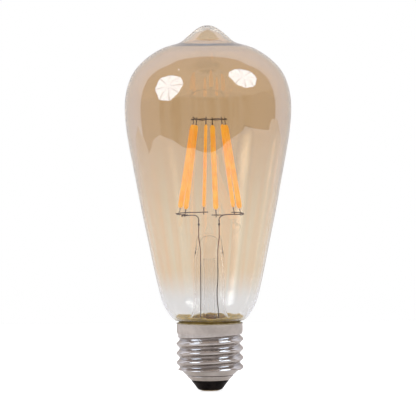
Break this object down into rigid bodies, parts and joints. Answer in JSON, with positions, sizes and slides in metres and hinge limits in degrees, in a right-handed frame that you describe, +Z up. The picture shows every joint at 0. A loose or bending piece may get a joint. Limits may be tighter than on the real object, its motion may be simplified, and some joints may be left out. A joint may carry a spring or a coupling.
{
  "type": "smart light bulb",
  "caption": "Amber glass LED filament bulb, pear-shaped with a blunt tip, on an E27 screw cap with a radio-controlled driver inside.",
  "frame": {"origin": "middle of the centre contact's flat face, at the bottom of the screw cap, on the lamp's axis", "axes": "+Z runs up the lamp's axis from the cap to the glass tip, +X is to the right seen from the front, -Y is towards the viewer"},
  "size_m": [0.0644, 0.0644, 0.1417],
  "materials": {
    "amber_glass": "gloss",
    "clear_glass": "gloss",
    "nickel_plate": "satin",
    "black_insulator": "gloss",
    "brass": "satin",
    "cement": "matte",
    "nickel_wire": "satin",
    "copper": "satin",
    "phosphor": "matte",
    "ceramic": "matte",
    "tab_steel": "satin",
    "circuit_board": "satin",
    "radio_board": "satin",
    "chip_black": "matte",
    "capacitor_sleeve": "satin",
    "ferrite": "matte",
    "varistor_blue": "satin",
    "resistor_body": "matte",
    "solder": "satin"
  },
  "bodies": {
    "root": {"glass_envelope": "amber_glass", "stem_glass": "clear_glass", "exhaust_tube": "clear_glass", "screw_shell": "nickel_plate", "cap_insulator": "black_insulator", "contact_pin": "brass", "capping_cement": "cement", "lower_arc_left": "nickel_wire", "lower_arc_right": "nickel_wire", "top_ring": "nickel_wire", "driver_board": "circuit_board", "fuse_resistor": "resistor_body", "smoothing_capacitor": "capacitor_sleeve", "inductor": "ferrite", "varistor": "varistor_blue", "bridge_rectifier": "chip_black", "driver_chip": "chip_black", "radio_board": "radio_board", "radio_chip": "chip_black", "antenna_loop": "copper", "neutral_wire": "solder", "neutral_solder": "solder", "outer_lead_left": "nickel_wire", "seal_wire_left": "copper", "inner_lead_left": "nickel_wire", "outer_lead_right": "nickel_wire", "seal_wire_right": "copper", "inner_lead_right": "nickel_wire", "filament_coat_1": "phosphor", "filament_strip_1": "ceramic", "filament_tab_top_1": "tab_steel", "filament_tab_foot_1": "tab_steel", "filament_coat_2": "phosphor", "filament_strip_2": "ceramic", "filament_tab_top_2": "tab_steel", "filament_tab_foot_2": "tab_steel", "filament_coat_3": "phosphor", "filament_strip_3": "ceramic", "filament_tab_top_3": "tab_steel", "filament_tab_foot_3": "tab_steel", "filament_coat_4": "phosphor", "filament_strip_4": "ceramic", "filament_tab_top_4": "tab_steel", "filament_tab_foot_4": "tab_steel", "filament_coat_5": "phosphor", "filament_strip_5": "ceramic", "filament_tab_top_5": "tab_steel", "filament_tab_foot_5": "tab_steel", "filament_coat_6": "phosphor", "filament_strip_6": "ceramic", "filament_tab_top_6": "tab_steel", "filament_tab_foot_6": "tab_steel"}
  },
  "joints": []
}
